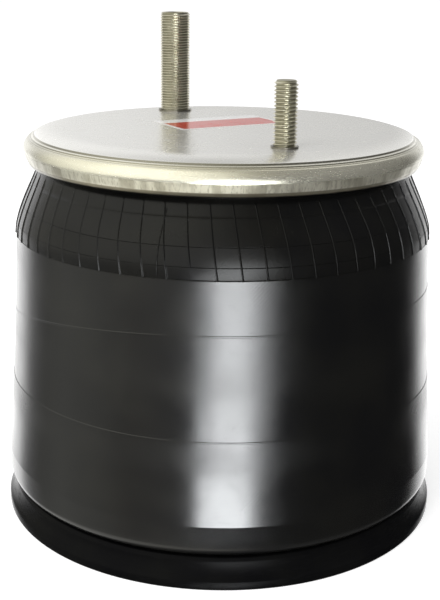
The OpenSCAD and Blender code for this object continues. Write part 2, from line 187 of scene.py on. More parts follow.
# the studio: white behind the object, bright at the left, dark at the right, two low cards in front;
# its tables go by degrees round the object, 0 is the camera's side, and degrees above the floor
studio = {
    "turn": 23.58,   # degrees that bring the camera's direction onto the -Y side
    "diffuse": 0.62,
    "cards": [  # the low card, and the dimmer one above it that stands further to the right
        {"glow": 18.5, "sides": [(-13.0, 0.0), (-9.6, 1.0), (12.5, 1.0), (16.5, 0.35), (21, 0.0)],
         "heights": [(-22.4, 0.0), (-20.8, 1.0), (-16.4, 1.0), (-15.2, 0.0)]},
        {"glow": 10.5, "sides": [(-5.0, 0.0), (-1.6, 1.0), (15, 1.0), (22, 0.45), (30, 0.0)],
         "heights": [(-16.4, 0.0), (-15.2, 1.0), (-11, 1.0), (-6, 0.95), (-3, 0.6), (0, 0.3), (5, 0.08),
                     (12, 0.03), (20, 0.0)]},
    ],
    # each band takes over from the one below between the two heights
    "bands": [
        ((-90, -90), [(-180, 0.25), (0, 0.12), (180, 0.2)]),
        ((-66, -56), [(-180, (0.95, 0.95, 0.92)), (-40, (0.88, 0.87, 0.8)), (5, (0.72, 0.71, 0.66)),
                      (30, 0.12), (130, 0.1), (150, 0.6), (180, 0.9)]),
        ((-40, -31), [(-180, 0.7), (-168, 0.8), (-160, 2.0), (-137, 1.95), (-129, 0.85), (-122, 0.42),
                      (-110, (0.27, 0.27, 0.25)), (-90, (0.5, 0.5, 0.46)), (-68, (0.45, 0.45, 0.41)),
                      (-48, (0.3, 0.29, 0.26)), (-20, (0.24, 0.24, 0.24)), (14, 0.1), (28, 0.02),
                      (123, 0.02), (128, 0.25), (133, 0.8), (143, 1.95), (160, 2.0), (168, 0.7), (180, 0.7)]),
        ((-11, -4), [(-180, 0.68), (-169, 0.88), (-162, 1.4), (-148, 1.7), (-139, 1.5), (-132, 0.65),
                     (-124, (0.54, 0.53, 0.47)), (-110, (0.62, 0.61, 0.53)), (-90, (0.85, 0.84, 0.75)),
                     (-72, (1.2, 1.19, 1.08)), (-40, (1.2, 1.19, 1.09)), (-16, (1.05, 1.04, 0.98)),
                     (8, (1.0, 1.0, 0.98)), (20, 0.14), (35, 0.03), (126, 0.03), (137, 0.5), (146, 1.4),
                     (160, 1.5), (169, 0.54), (180, 0.64)]),
        ((11, 18), [(-180, 0.82), (-169, 1.02), (-162, 1.05), (-148, 1.1), (-132, 0.65),
                    (-110, (0.8, 0.79, 0.71)), (-72, (1.3, 1.29, 1.16)), (-40, (1.3, 1.29, 1.16)),
                    (-10, (1.0, 0.99, 0.92)), (20, 0.14), (35, 0.05), (126, 0.04), (137, 0.3), (146, 0.8),
                    (160, 0.8), (169, 0.64), (180, 0.76)]),
        ((25, 40), [(-180, 0.4), (-150, 0.9), (-110, (0.9, 0.89, 0.78)), (-75, (1.25, 1.24, 1.1)),
                    (-45, (1.25, 1.24, 1.1)), (-20, (1.0, 0.99, 0.88)), (0, (0.68, 0.67, 0.59)),
                    (12, (0.4, 0.39, 0.31)), (25, (0.14, 0.13, 0.09)), (50, 0.06), (118, 0.05), (135, 0.4),
                    (150, 0.9), (168, 0.75), (180, 0.4)]),
        ((58, 76), [(-180, (0.34, 0.33, 0.26)), (-110, (0.6, 0.59, 0.5)), (-40, (0.5, 0.49, 0.4)),
                    (0, (0.36, 0.35, 0.28)), (50, (0.14, 0.13, 0.09)), (125, (0.16, 0.15, 0.11)),
                    (180, (0.34, 0.33, 0.26))]),
    ],
}


def makeWorld():
    world = bpy.data.worlds.new("studio")
    scene.world = world
    world.use_nodes = True
    tree = world.node_tree
    tree.nodes.clear()
    way = put(tree, "ShaderNodeTexCoord").outputs["Generated"]
    turned = put(tree, "ShaderNodeMapping", {"Vector": way, "Rotation": (0, 0, radians(studio["turn"]))},
                 vector_type="POINT").outputs["Vector"]
    side = put(tree, "ShaderNodeSeparateXYZ", {"Vector": turned})
    angle = calc(tree, "ARCTAN2", side.outputs["X"], calc(tree, "MULTIPLY", side.outputs["Y"], -1.0))
    around = calc(tree, "ADD", calc(tree, "DIVIDE", angle, 2 * pi), 0.5)
    height = calc(tree, "ADD", calc(tree, "MULTIPLY", side.outputs["Z"], 0.5), 0.5)

    def sides(stops):
        return ramp(tree, around, [((a + 180) / 360, colour) for a, colour in stops])

    def heights(stops):
        return ramp(tree, height, [(sin(radians(a)) / 2 + 0.5, colour) for a, colour in stops])

    walls = sides(studio["bands"][0][1])
    for (low, high), stops in studio["bands"][1:]:
        walls = blendColours(tree, heights([(low, 0.0), (high, 1.0)]), walls, sides(stops))
    seen = walls
    for card in studio["cards"]:
        shape = blendColours(tree, 1.0, sides(card["sides"]), heights(card["heights"]), "MULTIPLY")
        glow = card["glow"]
        lit = blendColours(tree, 1.0, shape, rgb(glow * 0.97, glow, glow * 1.02), "MULTIPLY")
        seen = blendColours(tree, 1.0, seen, lit, "ADD")
    rays = put(tree, "ShaderNodeLightPath")
    soft = studio["diffuse"]
    colour = blendColours(tree, rays.outputs["Is Glossy Ray"], rgb(soft, soft, soft), seen)
    colour = blendColours(tree, rays.outputs["Is Camera Ray"], colour, rgb(1, 1, 1))
    colour = blendColours(tree, rays.outputs["Is Transmission Ray"], colour, rgb(1, 1, 1))
    back = put(tree, "ShaderNodeBackground", {"Color": colour, "Strength": 1.0})
    put(tree, "ShaderNodeOutputWorld", {"Surface": back.outputs["Background"]})


def makeLamp(name, place, size, power, target=(0, 0, 0.12)):
    lamp = bpy.data.objects.new(name, bpy.data.lights.new(name, "AREA"))
    lamp.data.size = size
    lamp.data.energy = power
    lamp.location = place
    lamp.rotation_euler = (Vector(target) - Vector(place)).to_track_quat("-Z", "Y").to_euler()
    lamp.visible_glossy = False
    scene.collection.objects.link(lamp)


def makeFloor():
    bm = bmesh.new()
    bmesh.ops.create_grid(bm, x_segments=2, y_segments=2, size=14)
    pale = bpy.data.materials.new("paleFloor")
    pale.use_nodes = True
    shader = pale.node_tree.nodes["Principled BSDF"]
    shader.inputs["Base Color"].default_value = rgb(0.86, 0.86, 0.86)
    shader.inputs["Roughness"].default_value = 0.9
    shader.inputs["Emission Color"].default_value = rgb(1, 1, 1)
    rays = put(pale.node_tree, "ShaderNodeLightPath")
    lift = calc(pale.node_tree, "MULTIPLY", rays.outputs["Is Camera Ray"], 0.5)
    link(pale.node_tree, lift, shader.inputs["Emission Strength"])
    floor = finishMesh(bm, "floor", pale)
    floor.visible_glossy = False


makeWorld()
makeLamp("keyLamp", (-1.3, -0.7, 1.9), 1.1, 26)
makeLamp("fillLamp", (1.2, -1.4, 1.2), 1.4, 6)
makeFloor()
print("studio ready")


# shader groups that several finishes share
def newGroup(name, inputs, outputs):
    group = bpy.data.node_groups.new(name, "ShaderNodeTree")
    for title, kind, value in inputs:
        socket = group.interface.new_socket(title, in_out="INPUT", socket_type=kind)
        if value is not None:
            socket.default_value = value
    for title, kind in outputs:
        group.interface.new_socket(title, in_out="OUTPUT", socket_type=kind)
    return group, put(group, "NodeGroupInput").outputs


def makeGrainGroup():  # fine skin: grain height in mm, and a mask of small bright specks
    group, given = newGroup("skinGrain", [
        ("Vector", "NodeSocketVector", None), ("Grain Size", "NodeSocketFloat", 0.4),
        ("Depth", "NodeSocketFloat", 0.005), ("Speck Depth", "NodeSocketFloat", 0.02)],
        [("Height", "NodeSocketFloat"), ("Specks", "NodeSocketFloat")])
    size = calc(group, "DIVIDE", 1000.0, given["Grain Size"])
    fine = noise(group, given["Vector"], size, 3.0, 0.6)
    coarse = calc(group, "MULTIPLY", size, 0.45)
    specks = put(group, "ShaderNodeTexVoronoi", {"Vector": given["Vector"], "Scale": coarse}).outputs["Distance"]
    patchy = noise(group, given["Vector"], 160.0, 2.0)
    marks = calc(group, "MULTIPLY", between(group, specks, 0.24, 0.1), between(group, patchy, 0.5, 0.62))
    height = calc(group, "ADD", calc(group, "MULTIPLY", fine, given["Depth"]),
                  calc(group, "MULTIPLY", marks, given["Speck Depth"]))
    put(group, "NodeGroupOutput", {"Height": height, "Specks": marks})
    return group


def makeWearGroup():  # broad patches and small smears over a finish, 0 to 1
    group, given = newGroup("handlingWear", [
        ("Vector", "NodeSocketVector", None), ("Patch Size", "NodeSocketFloat", 40.0),
        ("Low", "NodeSocketFloat", 0.4), ("High", "NodeSocketFloat", 0.65)],
        [("Patches", "NodeSocketFloat"), ("Smears", "NodeSocketFloat")])
    size = calc(group, "DIVIDE", 1000.0, given["Patch Size"])
    broad = noise(group, given["Vector"], size, 3.0, 0.55)
    patches = put(group, "ShaderNodeMapRange", {"Value": broad, "From Min": given["Low"],
                                                "From Max": given["High"]}).outputs["Result"]
    flat = put(group, "ShaderNodeMapping", {"Vector": given["Vector"], "Scale": (1, 1, 5)}).outputs["Vector"]
    smears = between(group, noise(group, flat, calc(group, "MULTIPLY", size, 3.0), 4.0, 0.6), 0.5, 0.72)
    put(group, "NodeGroupOutput", {"Patches": patches, "Smears": smears})
    return group


def makeStreakGroup():  # upright drawn streaks on a pressed or rolled wall
    group, given = newGroup("drawnStreaks", [
        ("Vector", "NodeSocketVector", None), ("Width", "NodeSocketFloat", 1.4),
        ("Length", "NodeSocketFloat", 25.0)],
        [("Streaks", "NodeSocketFloat"), ("Bands", "NodeSocketFloat")])
    short = calc(group, "DIVIDE", given["Width"], given["Length"])
    squeeze = put(group, "ShaderNodeCombineXYZ", {0: 1.0, 1: 1.0, 2: short}).outputs[0]
    drawn = put(group, "ShaderNodeVectorMath", {0: given["Vector"], 1: squeeze},
                operation="MULTIPLY").outputs["Vector"]
    size = calc(group, "DIVIDE", 1000.0, given["Width"])
    put(group, "NodeGroupOutput", {
        "Streaks": noise(group, drawn, size, 3.0, 0.65),
        "Bands": noise(group, drawn, calc(group, "MULTIPLY", size, 0.16), 2.0)})
    return group


skinGrain = makeGrainGroup()
handlingWear = makeWearGroup()
drawnStreaks = makeStreakGroup()


def useGroup(tree, group, **inputs):
    given = {key.replace("_", " "): value for key, value in inputs.items()}
    return put(tree, "ShaderNodeGroup", given, node_tree=group).outputs


def newFinish(name, metallic=0.0, specular=0.5):
    finish = bpy.data.materials.new(name)
    finish.use_nodes = True
    tree = finish.node_tree
    shader = tree.nodes["Principled BSDF"]
    shader.inputs["Metallic"].default_value = metallic
    shader.inputs["Specular IOR Level"].default_value = specular
    where = put(tree, "ShaderNodeTexCoord").outputs["Object"]
    return finish, tree, shader, where


def setBump(tree, shader, height):  # height in millimetres
    bump = put(tree, "ShaderNodeBump", {"Height": height, "Strength": 1.0, "Distance": mm})
    link(tree, bump.outputs["Normal"], shader.inputs["Normal"])


cordMarks = {"lines": 371.0, "slant": 2992.0, "patches": 3, "patchTurn": 5.37, "depth": 0.003}


def makeRubber(name, gloss=0.18, specular=0.7, dents=0.1, cords=True, bands=()):
    finish, tree, shader, where = newFinish(name, specular=specular)
    place = put(tree, "ShaderNodeSeparateXYZ", {"Vector": where}).outputs
    wear = useGroup(tree, handlingWear, Vector=where, Patch_Size=34.0, Low=0.38, High=0.66)
    grain = useGroup(tree, skinGrain, Vector=where, Grain_Size=0.42, Depth=0.005, Speck_Depth=0.016)
    colour = blendColours(tree, wear["Patches"], rgb(0.0052, 0.0052, 0.0054), rgb(0.008, 0.0078, 0.0068))
    link(tree, colour, shader.inputs["Base Color"])
    rough = calc(tree, "ADD", calc(tree, "MULTIPLY", wear["Patches"], 0.05), gloss)
    for low, high, more in bands:  # heights at which the skin is duller or glossier
        ragged = calc(tree, "ADD", place["Z"], calc(tree, "MULTIPLY", noise(tree, where, 40.0, 2.0), 0.008))
        inside = calc(tree, "MULTIPLY", between(tree, ragged, low - 0.001, low + 0.009),
                      between(tree, ragged, high + 0.009, high - 0.001))
        rough = calc(tree, "ADD", rough, calc(tree, "MULTIPLY", inside, more))
    link(tree, rough, shader.inputs["Roughness"])
    height = calc(tree, "MULTIPLY", noise(tree, where, 19.0, 1.0), dents * 2.4)
    height = calc(tree, "ADD", height, calc(tree, "MULTIPLY", noise(tree, where, 75.0, 2.0), dents * 0.3))
    height = calc(tree, "ADD", height, grain["Height"])
    if cords:  # the fabric plies print through as fine slanting lines, in patches
        count = cordMarks["lines"]
        turn = calc(tree, "MULTIPLY", calc(tree, "ARCTAN2", place["Y"], place["X"]), count)
        rise = calc(tree, "MULTIPLY", place["Z"], cordMarks["slant"])
        lines = calc(tree, "SINE", calc(tree, "SUBTRACT", turn, rise))
        patches = calc(tree, "MULTIPLY", turn, cordMarks["patches"] / count)
        patches = calc(tree, "COSINE", calc(tree, "ADD", patches, cordMarks["patchTurn"]))
        mask = calc(tree, "MULTIPLY", between(tree, patches, 0.75, 0.97),
                    between(tree, noise(tree, where, 30.0), 0.4, 0.6))
        lines = calc(tree, "MULTIPLY", calc(tree, "MULTIPLY", lines, mask), cordMarks["depth"])
        height = calc(tree, "ADD", height, lines)
    setBump(tree, shader, height)
    return finish


airPlace = (0.0, 78.75)
blindPlace = (0.0, -78.75)
plating = {
    "rough": 0.26, "metallic": 0.78, "top": 0.225,
    "edgeHeights": (0.2204, 0.2222),     # the rim is warmer below, the flat face cooler above
    "streakHeights": (0.2130, 0.2141), "streakDepth": 0.03,
    "marks": [(*blindPlace, 17.8), (*airPlace, 20.5)],    # place and radius
    # painted shade along the pressed steps: radius, width, amount and lowest height
    "stepShade": [(109.0, 0.55, 0.8, 220.5), (110.65, 0.3, 0.7, 219.5), (111.6, 0.25, 0.4, 219.0)],
    # heights of the painted shade on the burr and under the rim
    "burr": (208.9, 208.4), "shade": (207.1, 206.5),
}


def makePlated(name, face, edge):
    finish, tree, shader, where = newFinish(name, metallic=plating["metallic"])
    place = put(tree, "ShaderNodeSeparateXYZ", {"Vector": where}).outputs
    wear = useGroup(tree, handlingWear, Vector=where, Patch_Size=26.0, Low=0.35, High=0.7)
    grain = useGroup(tree, skinGrain, Vector=where, Grain_Size=0.3, Depth=0.0003, Speck_Depth=0.0006)
    rimStart, faceStart = plating["edgeHeights"]
    low = between(tree, place["Z"], faceStart, rimStart)
    colour = blendColours(tree, low, face, edge)
    dull = tuple(v * 0.86 for v in edge[:3]) + (1,)
    colour = blendColours(tree, calc(tree, "MULTIPLY", wear["Patches"], calc(tree, "MULTIPLY", low, 0.6)),
                          colour, dull)
    height = calc(tree, "ADD", calc(tree, "MULTIPLY", noise(tree, where, 55.0, 2.0), 0.03), grain["Height"])
    roughness = calc(tree, "ADD", calc(tree, "MULTIPLY", wear["Smears"], 0.08), plating["rough"])
    # drawn streaks on the crimped band
    bandTop, depth = plating["streakHeights"], plating["streakDepth"]
    drawn = useGroup(tree, drawnStreaks, Vector=where, Width=1.2, Length=30.0)
    band = between(tree, place["Z"], bandTop[1], bandTop[0])
    streaks = calc(tree, "MULTIPLY", drawn["Streaks"], band)
    height = calc(tree, "ADD", height, calc(tree, "MULTIPLY", streaks, depth))
    wide = calc(tree, "MULTIPLY", calc(tree, "MULTIPLY", drawn["Bands"], band), depth * 6)
    height = calc(tree, "ADD", height, wide)
    for streak, start, full, amount, tint in (("Bands", 0.42, 0.62, 0.75, rgb(0.5, 0.47, 0.36)),
                                              ("Streaks", 0.5, 0.62, 0.5, rgb(0.42, 0.39, 0.29))):
        mask = between(tree, drawn[streak], start, full)
        mask = calc(tree, "MULTIPLY", mask, calc(tree, "MULTIPLY", band, amount))
        colour = blendColours(tree, mask, colour, tint)
    roughness = calc(tree, "ADD", roughness, calc(tree, "MULTIPLY", streaks, 0.06))
    for x, y, radius in plating["marks"]:  # shallow rings that the press left round the studs
        foot = (x * mm, y * mm, plating["top"])
        near = put(tree, "ShaderNodeVectorMath", {0: where, 1: foot}, operation="DISTANCE").outputs["Value"]
        away = calc(tree, "ABSOLUTE", calc(tree, "SUBTRACT", near, radius * mm))
        height = calc(tree, "ADD", height, between(tree, away, 0.0, 0.9 * mm, -0.03, 0.0))
    flat = put(tree, "ShaderNodeCombineXYZ", {0: place["X"], 1: place["Y"], 2: 0.0}).outputs[0]
    out = put(tree, "ShaderNodeVectorMath", {0: flat}, operation="LENGTH").outputs["Value"]
    for radius, width, amount, lowest in plating["stepShade"]:  # painted shade: dark rings along the pressed steps
        near = between(tree, calc(tree, "ABSOLUTE", calc(tree, "SUBTRACT", out, radius * mm)), width * mm,
                       width * 0.4 * mm)
        above = between(tree, place["Z"], (lowest - 0.3) * mm, (lowest + 0.3) * mm)
        mask = calc(tree, "MULTIPLY", calc(tree, "MULTIPLY", near, above), amount)
        colour = blendColours(tree, mask, colour, rgb(0.16, 0.145, 0.09))
    # painted shade: the raw edge below the crimped band is darkened, and painted nearly black where it turns
    # under
    burrShade, under = (between(tree, place["Z"], plating[key][0] * mm, plating[key][1] * mm)
                  for key in ("burr", "shade"))
    colour = blendColours(tree, calc(tree, "MULTIPLY", burrShade, 0.9), colour, rgb(0.27, 0.24, 0.17))
    colour = blendColours(tree, under, colour, rgb(0.05, 0.045, 0.035))
    # painted shade: the rim's plating colour is darkened at a glancing angle, which dims its reflection there
    glancing = put(tree, "ShaderNodeLayerWeight", {"Blend": 0.5}).outputs["Facing"]
    glancing = calc(tree, "MULTIPLY", between(tree, glancing, 0.4, 0.76), calc(tree, "MULTIPLY", low, 0.46))
    colour = blendColours(tree, glancing, colour, rgb(0.0, 0.0, 0.0))
    link(tree, colour, shader.inputs["Base Color"])
    link(tree, roughness, shader.inputs["Roughness"])
    setBump(tree, shader, height)
    return finish


def makeThreadMetal(name, centre, crest, root, light, dark, rough=0.3):
    finish, tree, shader, where = newFinish(name, metallic=0.85)
    shift = (-centre[0] * mm, -centre[1] * mm, 0)
    own = put(tree, "ShaderNodeMapping", {"Vector": where, "Location": shift}).outputs["Vector"]
    place = put(tree, "ShaderNodeSeparateXYZ", {"Vector": own}).outputs
    flat = put(tree, "ShaderNodeCombineXYZ", {0: place["X"], 1: place["Y"], 2: 0.0}).outputs[0]
    away = put(tree, "ShaderNodeVectorMath", {0: flat}, operation="LENGTH").outputs["Value"]
    wear = useGroup(tree, handlingWear, Vector=where, Patch_Size=9.0, Low=0.4, High=0.7)
    grain = useGroup(tree, skinGrain, Vector=where, Grain_Size=0.25, Depth=0.003, Speck_Depth=0.006)
    # painted shade: the thread roots are darker than the crests
    colour = blendColours(tree, between(tree, away, root * mm, crest * mm), dark, light)
    worn = tuple(v * 0.8 for v in light[:3]) + (1,)
    colour = blendColours(tree, calc(tree, "MULTIPLY", wear["Patches"], 0.4), colour, worn)
    link(tree, colour, shader.inputs["Base Color"])
    roughness = calc(tree, "ADD", calc(tree, "MULTIPLY", wear["Smears"], 0.12), rough)
    link(tree, roughness, shader.inputs["Roughness"])
    setBump(tree, shader, grain["Height"])
    return finish


def makePlain(name, colour, worn, metallic=0.0, rough=0.45, grainSize=0.6, depth=0.01, patch=30.0,
              specular=0.5):
    finish, tree, shader, where = newFinish(name, metallic=metallic, specular=specular)
    wear = useGroup(tree, handlingWear, Vector=where, Patch_Size=patch, Low=0.4, High=0.68)
    grain = useGroup(tree, skinGrain, Vector=where, Grain_Size=grainSize, Depth=depth, Speck_Depth=depth)
    blend = blendColours(tree, wear["Patches"], rgb(*colour), rgb(*worn))
    link(tree, blend, shader.inputs["Base Color"])
    roughness = calc(tree, "ADD", calc(tree, "MULTIPLY", wear["Smears"], 0.14), rough)
    link(tree, roughness, shader.inputs["Roughness"])
    setBump(tree, shader, grain["Height"])
    return finish


sleeveRubber = makeRubber("sleeveRubber",
                          bands=[(0.106, 0.163, 0.03), (0.066, 0.0805, 0.05), (0.0, 0.06, -0.02)])
shoulderRubber = makeRubber("shoulderRubber", gloss=0.23, specular=0.25, dents=0.05, cords=False)
innerRubber = makeRubber("innerRubber", gloss=0.36, specular=0.4, dents=0.05, cords=False)
plateSteel = makePlated("plateSteel", rgb(0.86, 0.85, 0.81), rgb(0.93, 0.9, 0.75))
# painted shade colour for the thread roots
threadRootShade = rgb(0.34, 0.32, 0.23)
airSteel = makeThreadMetal("airStudSteel", airPlace, 9.5, 8.6, rgb(0.92, 0.89, 0.77), threadRootShade)
blindSteel = makeThreadMetal("blindStudSteel", blindPlace, 6.3, 5.2, rgb(0.82, 0.79, 0.66), threadRootShade,
                             rough=0.4)
darkSteel = makePlain("darkSteel", (0.32, 0.3, 0.26), (0.2, 0.19, 0.16), metallic=1.0, rough=0.3, patch=6.0)
pistonPlastic = makePlain("pistonPlastic", (0.004, 0.004, 0.0045), (0.006, 0.006, 0.0058), rough=0.24,
                          grainSize=0.9, depth=0.006, specular=0.035)
zincSteel = makePlain("zincSteel", (0.62, 0.63, 0.65), (0.52, 0.53, 0.53), metallic=1.0, rough=0.32,
                      patch=12.0)
insertBrass = makePlain("insertBrass", (0.68, 0.52, 0.26), (0.55, 0.41, 0.2), metallic=1.0, rough=0.28,
                        patch=8.0)
beadBronze = makePlain("beadBronze", (0.6, 0.42, 0.2), (0.5, 0.33, 0.15), metallic=1.0, rough=0.3,
                       patch=8.0)
postPlastic = makePlain("postPlastic", (0.1, 0.1, 0.11), (0.13, 0.13, 0.13), rough=0.4)
bumperRubber = makePlain("bumperRubber", (0.03, 0.03, 0.03), (0.045, 0.044, 0.042), rough=0.55,
                         grainSize=1.1, depth=0.03)
sealRubber = makePlain("sealRubber", (0.02, 0.02, 0.02), (0.03, 0.03, 0.03), rough=0.5)
print("finishes ready")


# CAD solids that keep their own shape
for nodeName, finish in {
    "air_stud_ring": darkSteel, "blind_stud_ring": darkSteel,
    "upper_bead": innerRubber, "sleeve_neck": innerRubber,
    "upper_bead_wire": beadBronze, "lower_bead_wire": beadBronze,
    "end_closure": zincSteel, "piston_bolt": zincSteel, "piston_nut": zincSteel,
    "bolt_washer": zincSteel, "nut_washer": zincSteel, "bolt_seal": sealRubber,
    "piston_hub": pistonPlastic, "piston_webs": pistonPlastic, "piston_inserts": insertBrass,
    "bumper_base": postPlastic, "bumper": bumperRubber,
}.items():
    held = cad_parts[nodeName]
    held.data.materials.clear()
    held.data.materials.append(finish)


# bead plate: flat top, two fine steps, rolled rim with a crimped band and a burr below
plate = {
    "top": 225.0, "thick": 2.8, "slope": [(92, 225), (99, 225), (104.5, 223.95), (108.6, 222.5)],
    "steps": [(108.85, 222.28), (109.15, 221.72), (109.4, 221.5), (110.45, 221.16), (110.6, 221.0),
              (110.75, 220.7), (110.9, 220.56), (111.4, 220.36), (111.55, 220.2), (111.7, 220.02)],
    "roll": (106.8, 214.0, 8.2), "lip": -95,
    "crimp": [(115.0, 213.9), (114.75, 213.0), (114.3, 211.5), (113.95, 210.2), (113.65, 209.1),
              (113.5, 208.7), (112.9, 207.6), (112.35, 206.85), (111.9, 206.3), (111.2, 205.95)],
    "dentTop": 215.9, "dentR": 112.5, "dents": 46, "dentDepth": 0.2,
}


def plateOutline():
    rollR, rollZ, roll = plate["roll"]
    under = plate["top"] - plate["thick"]
    outline = [(0, plate["top"]), (30, plate["top"]), (66, plate["top"]), (88, plate["top"])]
    outline += cubic(*plate["slope"], 12)
    outline += plate["steps"]
    outline += arc((rollR, rollZ), roll, 45, 3, 14)
    outline += plate["crimp"]
    outline += arc((rollR, rollZ), roll, -76, plate["lip"], 4)
    outline += arc((rollR, rollZ), roll - plate["thick"], plate["lip"], 90, 22)
    outline += [(102.0, rollZ + roll - plate["thick"]), (99.5, under), (60, under), (0, under)]
    return outline


def makePlate():
    bm = bmesh.new()
    lathe(bm, plateOutline(), steps=288)
    for v in bm.verts:  # the crimping jaws leave shallow facets round the band
        z = v.co.z / mm
        out = hypot(v.co.x, v.co.y) / mm
        if out > plate["dentR"] and z < plate["dentTop"]:
            turn = atan2(v.co.y, v.co.x)
            wave = abs(sin(turn * plate["dents"] / 2)) ** 0.5
            reach = min(1.0, (plate["dentTop"] - z) / 3.0)
            less = plate["dentDepth"] * (1 - wave) * reach
            v.co.x *= 1 - less / out
            v.co.y *= 1 - less / out
    finishMesh(bm, "pressedPlate", plateSteel, "plate_group", ["bead_plate"], sharp=50)


makePlate()


# studs with cut threads
studs = {
    "air": {"at": airPlace, "r": 9.525, "top": 286.0, "pitch": 1.5875, "port": 5.6, "portDeep": 16.0,
            "passage": 3.5},
    "blind": {"at": blindPlace, "r": 6.35, "top": 259.5, "pitch": 1.954, "port": 0},
}
stud = {"thread": 226.0, "face": 225.0, "plate": 2.8, "head": 6.0, "lip": 5.0, "relief": 0.6, "chamfer": 1.4,
        "threadDeep": 0.6134, "portPitch": 1.411, "turnSteps": 48}


def openEdges(bm, z):
    return [e for e in bm.edges if e.is_boundary and all(abs(v.co.z - z * mm) < 2e-6 for v in e.verts)]


def makeStud(name, size, material, node):
    bm = bmesh.new()
    x, y = size["at"]
    pitch, r = size["pitch"], size["r"]
    root = r - stud["threadDeep"] * pitch
    low, high, steps = stud["thread"], size["top"], stud["turnSteps"]
    start = low - 1.5 * pitch
    outline = [(root, start), (root, start + 0.14 * pitch), (r - 0.03, start + 0.45 * pitch),
               (r, start + 0.5 * pitch), (r - 0.03, start + 0.55 * pitch), (root, start + 0.86 * pitch),
               (root, start + pitch)]
    turns = int((high - start) / pitch) + 2
    bmesh.ops.spin(bm, geom=drawOutline(bm, outline, centre=size["at"]), cent=(x * mm, y * mm, 0),
                   axis=(0, 0, 1), dvec=(0, 0, pitch * mm / steps), angle=2 * pi * turns, steps=turns * steps)
    bmesh.ops.remove_doubles(bm, verts=bm.verts, dist=2e-6)
    chamfer = stud["chamfer"]
    for cut, outer in ((low, False), (high - chamfer, None), (high - chamfer / 2, None), (high, True)):
        bmesh.ops.bisect_plane(bm, geom=bm.verts[:] + bm.edges[:] + bm.faces[:], dist=1e-7,
                               plane_co=(0, 0, cut * mm), plane_no=(0, 0, 1),
                               clear_outer=outer is True, clear_inner=outer is False)
    for v in bm.verts:
        away = Vector((v.co.x - x * mm, v.co.y - y * mm))
        most = (r + min(0.0, high - chamfer - v.co.z / mm)) * mm
        if v.co.z > (high - chamfer - 0.01) * mm and away.length > most:
            away *= most / away.length
            v.co.x, v.co.y = x * mm + away.x, y * mm + away.y
    under = stud["face"] - stud["plate"]
    base = under - stud["head"]
    shank = r - stud["relief"]
    head = r + stud["lip"]
    foot = [(head - 1, base), (head, base + 1), (head, under), (shank, under), (shank, low)]
    foot = [(size["passage"] if size["port"] else 0, base)] + foot
    lathe(bm, foot, steps=steps, centre=size["at"])
    bmesh.ops.bridge_loops(bm, edges=openEdges(bm, low))
    if size["port"]:
        port, deep, passage = size["port"], size["portDeep"], size["passage"]
        hole = [(port + 0.5, high), (port, high - 0.6)]
        for i in range(int((deep - 2) / stud["portPitch"])):  # fine pipe thread in the port's mouth
            at = high - 0.8 - stud["portPitch"] * i
            hole += [(port, at - 0.2), (port - 0.75, at - 0.65), (port - 0.75, at - 0.8), (port, at - 1.25)]
        hole += [(port, high - deep), (passage, high - deep - 1), (passage, base)]
        lathe(bm, hole, steps=steps, centre=size["at"])
        bmesh.ops.remove_doubles(bm, verts=bm.verts, dist=2e-6)
        bmesh.ops.bridge_loops(bm, edges=openEdges(bm, high))
    else:
        bmesh.ops.remove_doubles(bm, verts=bm.verts, dist=2e-6)
        bmesh.ops.triangle_fill(bm, edges=openEdges(bm, high), use_beauty=True)
    finishMesh(bm, name, material, "plate_group", [node], sharp=28)


makeStud("airStudThread", studs["air"], airSteel, "air_stud")
makeStud("blindStudThread", studs["blind"], blindSteel, "blind_stud")


# sleeve
sleeve = {
    "wall": 6.5, "innerR": 101.9, "lobeR": 129.1, "lobeLow": 17.3, "lobeTop": 36.0, "corner": 7.0,
    "foot": 166.0, "neckR": 105.6, "neckLow": 205.3, "mouth": 203.8, "beadTop": 208.9,
    "lines": (81.5, 137.5), "lineHigh": 0.6, "lineOut": 0.25, "lineEdge": 0.25,
    "sag": 21.0, "sagSides": (-178, -95), "sagAbove": 24, "sagBelow": 45, "innerWall": (36.3, 137.7),
}
grid = {
    "ribs": 60, "phase": -0.84, "lean": 2.5, "ringHigh": 0.4, "ringEdge": 0.08,
    "rings": {166.3: -0.3, 172.7: -0.3, 182.6: -0.3, 195.4: 0.14},    # grooves, and one raised ring
    "rows": {203.0, 201.2, 199.4, 197.6, 192.6, 190.2, 187.8, 185.4, 180.2, 178.0, 175.8, 171.2, 169.4, 166.0},
    "columns": (0, 0.04, 0.1, 0.16, 0.27, 0.38, 0.5, 0.56, 2.0, 3.5, 5.0, 5.95, 6.0),    # degrees
    "ribOut": {2: 0.48, 3: 0.5, 4: 0.48, 5: 0.26}, "ribTop": 203.2, "ribLow": 166.1, "blobTop": 167.0,
    "blob": 0.12,
    # how far the band stands out at each height, all round and on the camera's side
    "swell": [(0, 204), (0, 195.4), (0.2, 182.6), (0.45, 172.4), (0.03, 166.7), (0, 166)],
    "belly": [(0, 204), (0, 203.2), (0.35, 200), (1.05, 195.4), (1.85, 190), (2.15, 185.4), (2.05, 182.6),
              (1.45, 178), (1.14, 175.8), (0.52, 172.4), (0, 166.7), (0, 166)],
    "bellySide": (5.0, 30.0, 65.0),
}
shoulderTop, shoulderSpan = (107.4, sleeve["mouth"]), 39.8
shoulderLow, wallSpan = (120.7, sleeve["foot"]), 130
lobeEdge = (sleeve["lobeR"], sleeve["lobeTop"])
shoulderCurve = cubic(shoulderTop, (shoulderTop[0] + 2.6, shoulderTop[1] - 0.21 * shoulderSpan),
                      (shoulderLow[0] - 1.6, shoulderLow[1] + 0.38 * shoulderSpan), shoulderLow, 60)
wallCurve = cubic(shoulderLow, (shoulderLow[0] + 0.9, shoulderLow[1] - 0.29 * wallSpan),
                  (lobeEdge[0] - 3, lobeEdge[1] + 0.23 * wallSpan), lobeEdge, 90)


def sideOf(x, y, middle=0.0):  # degrees from the camera's side, negative to its left
    return (atan2(y, x) * 180 / pi + view["azimuth"] - middle + 180) % 360 - 180


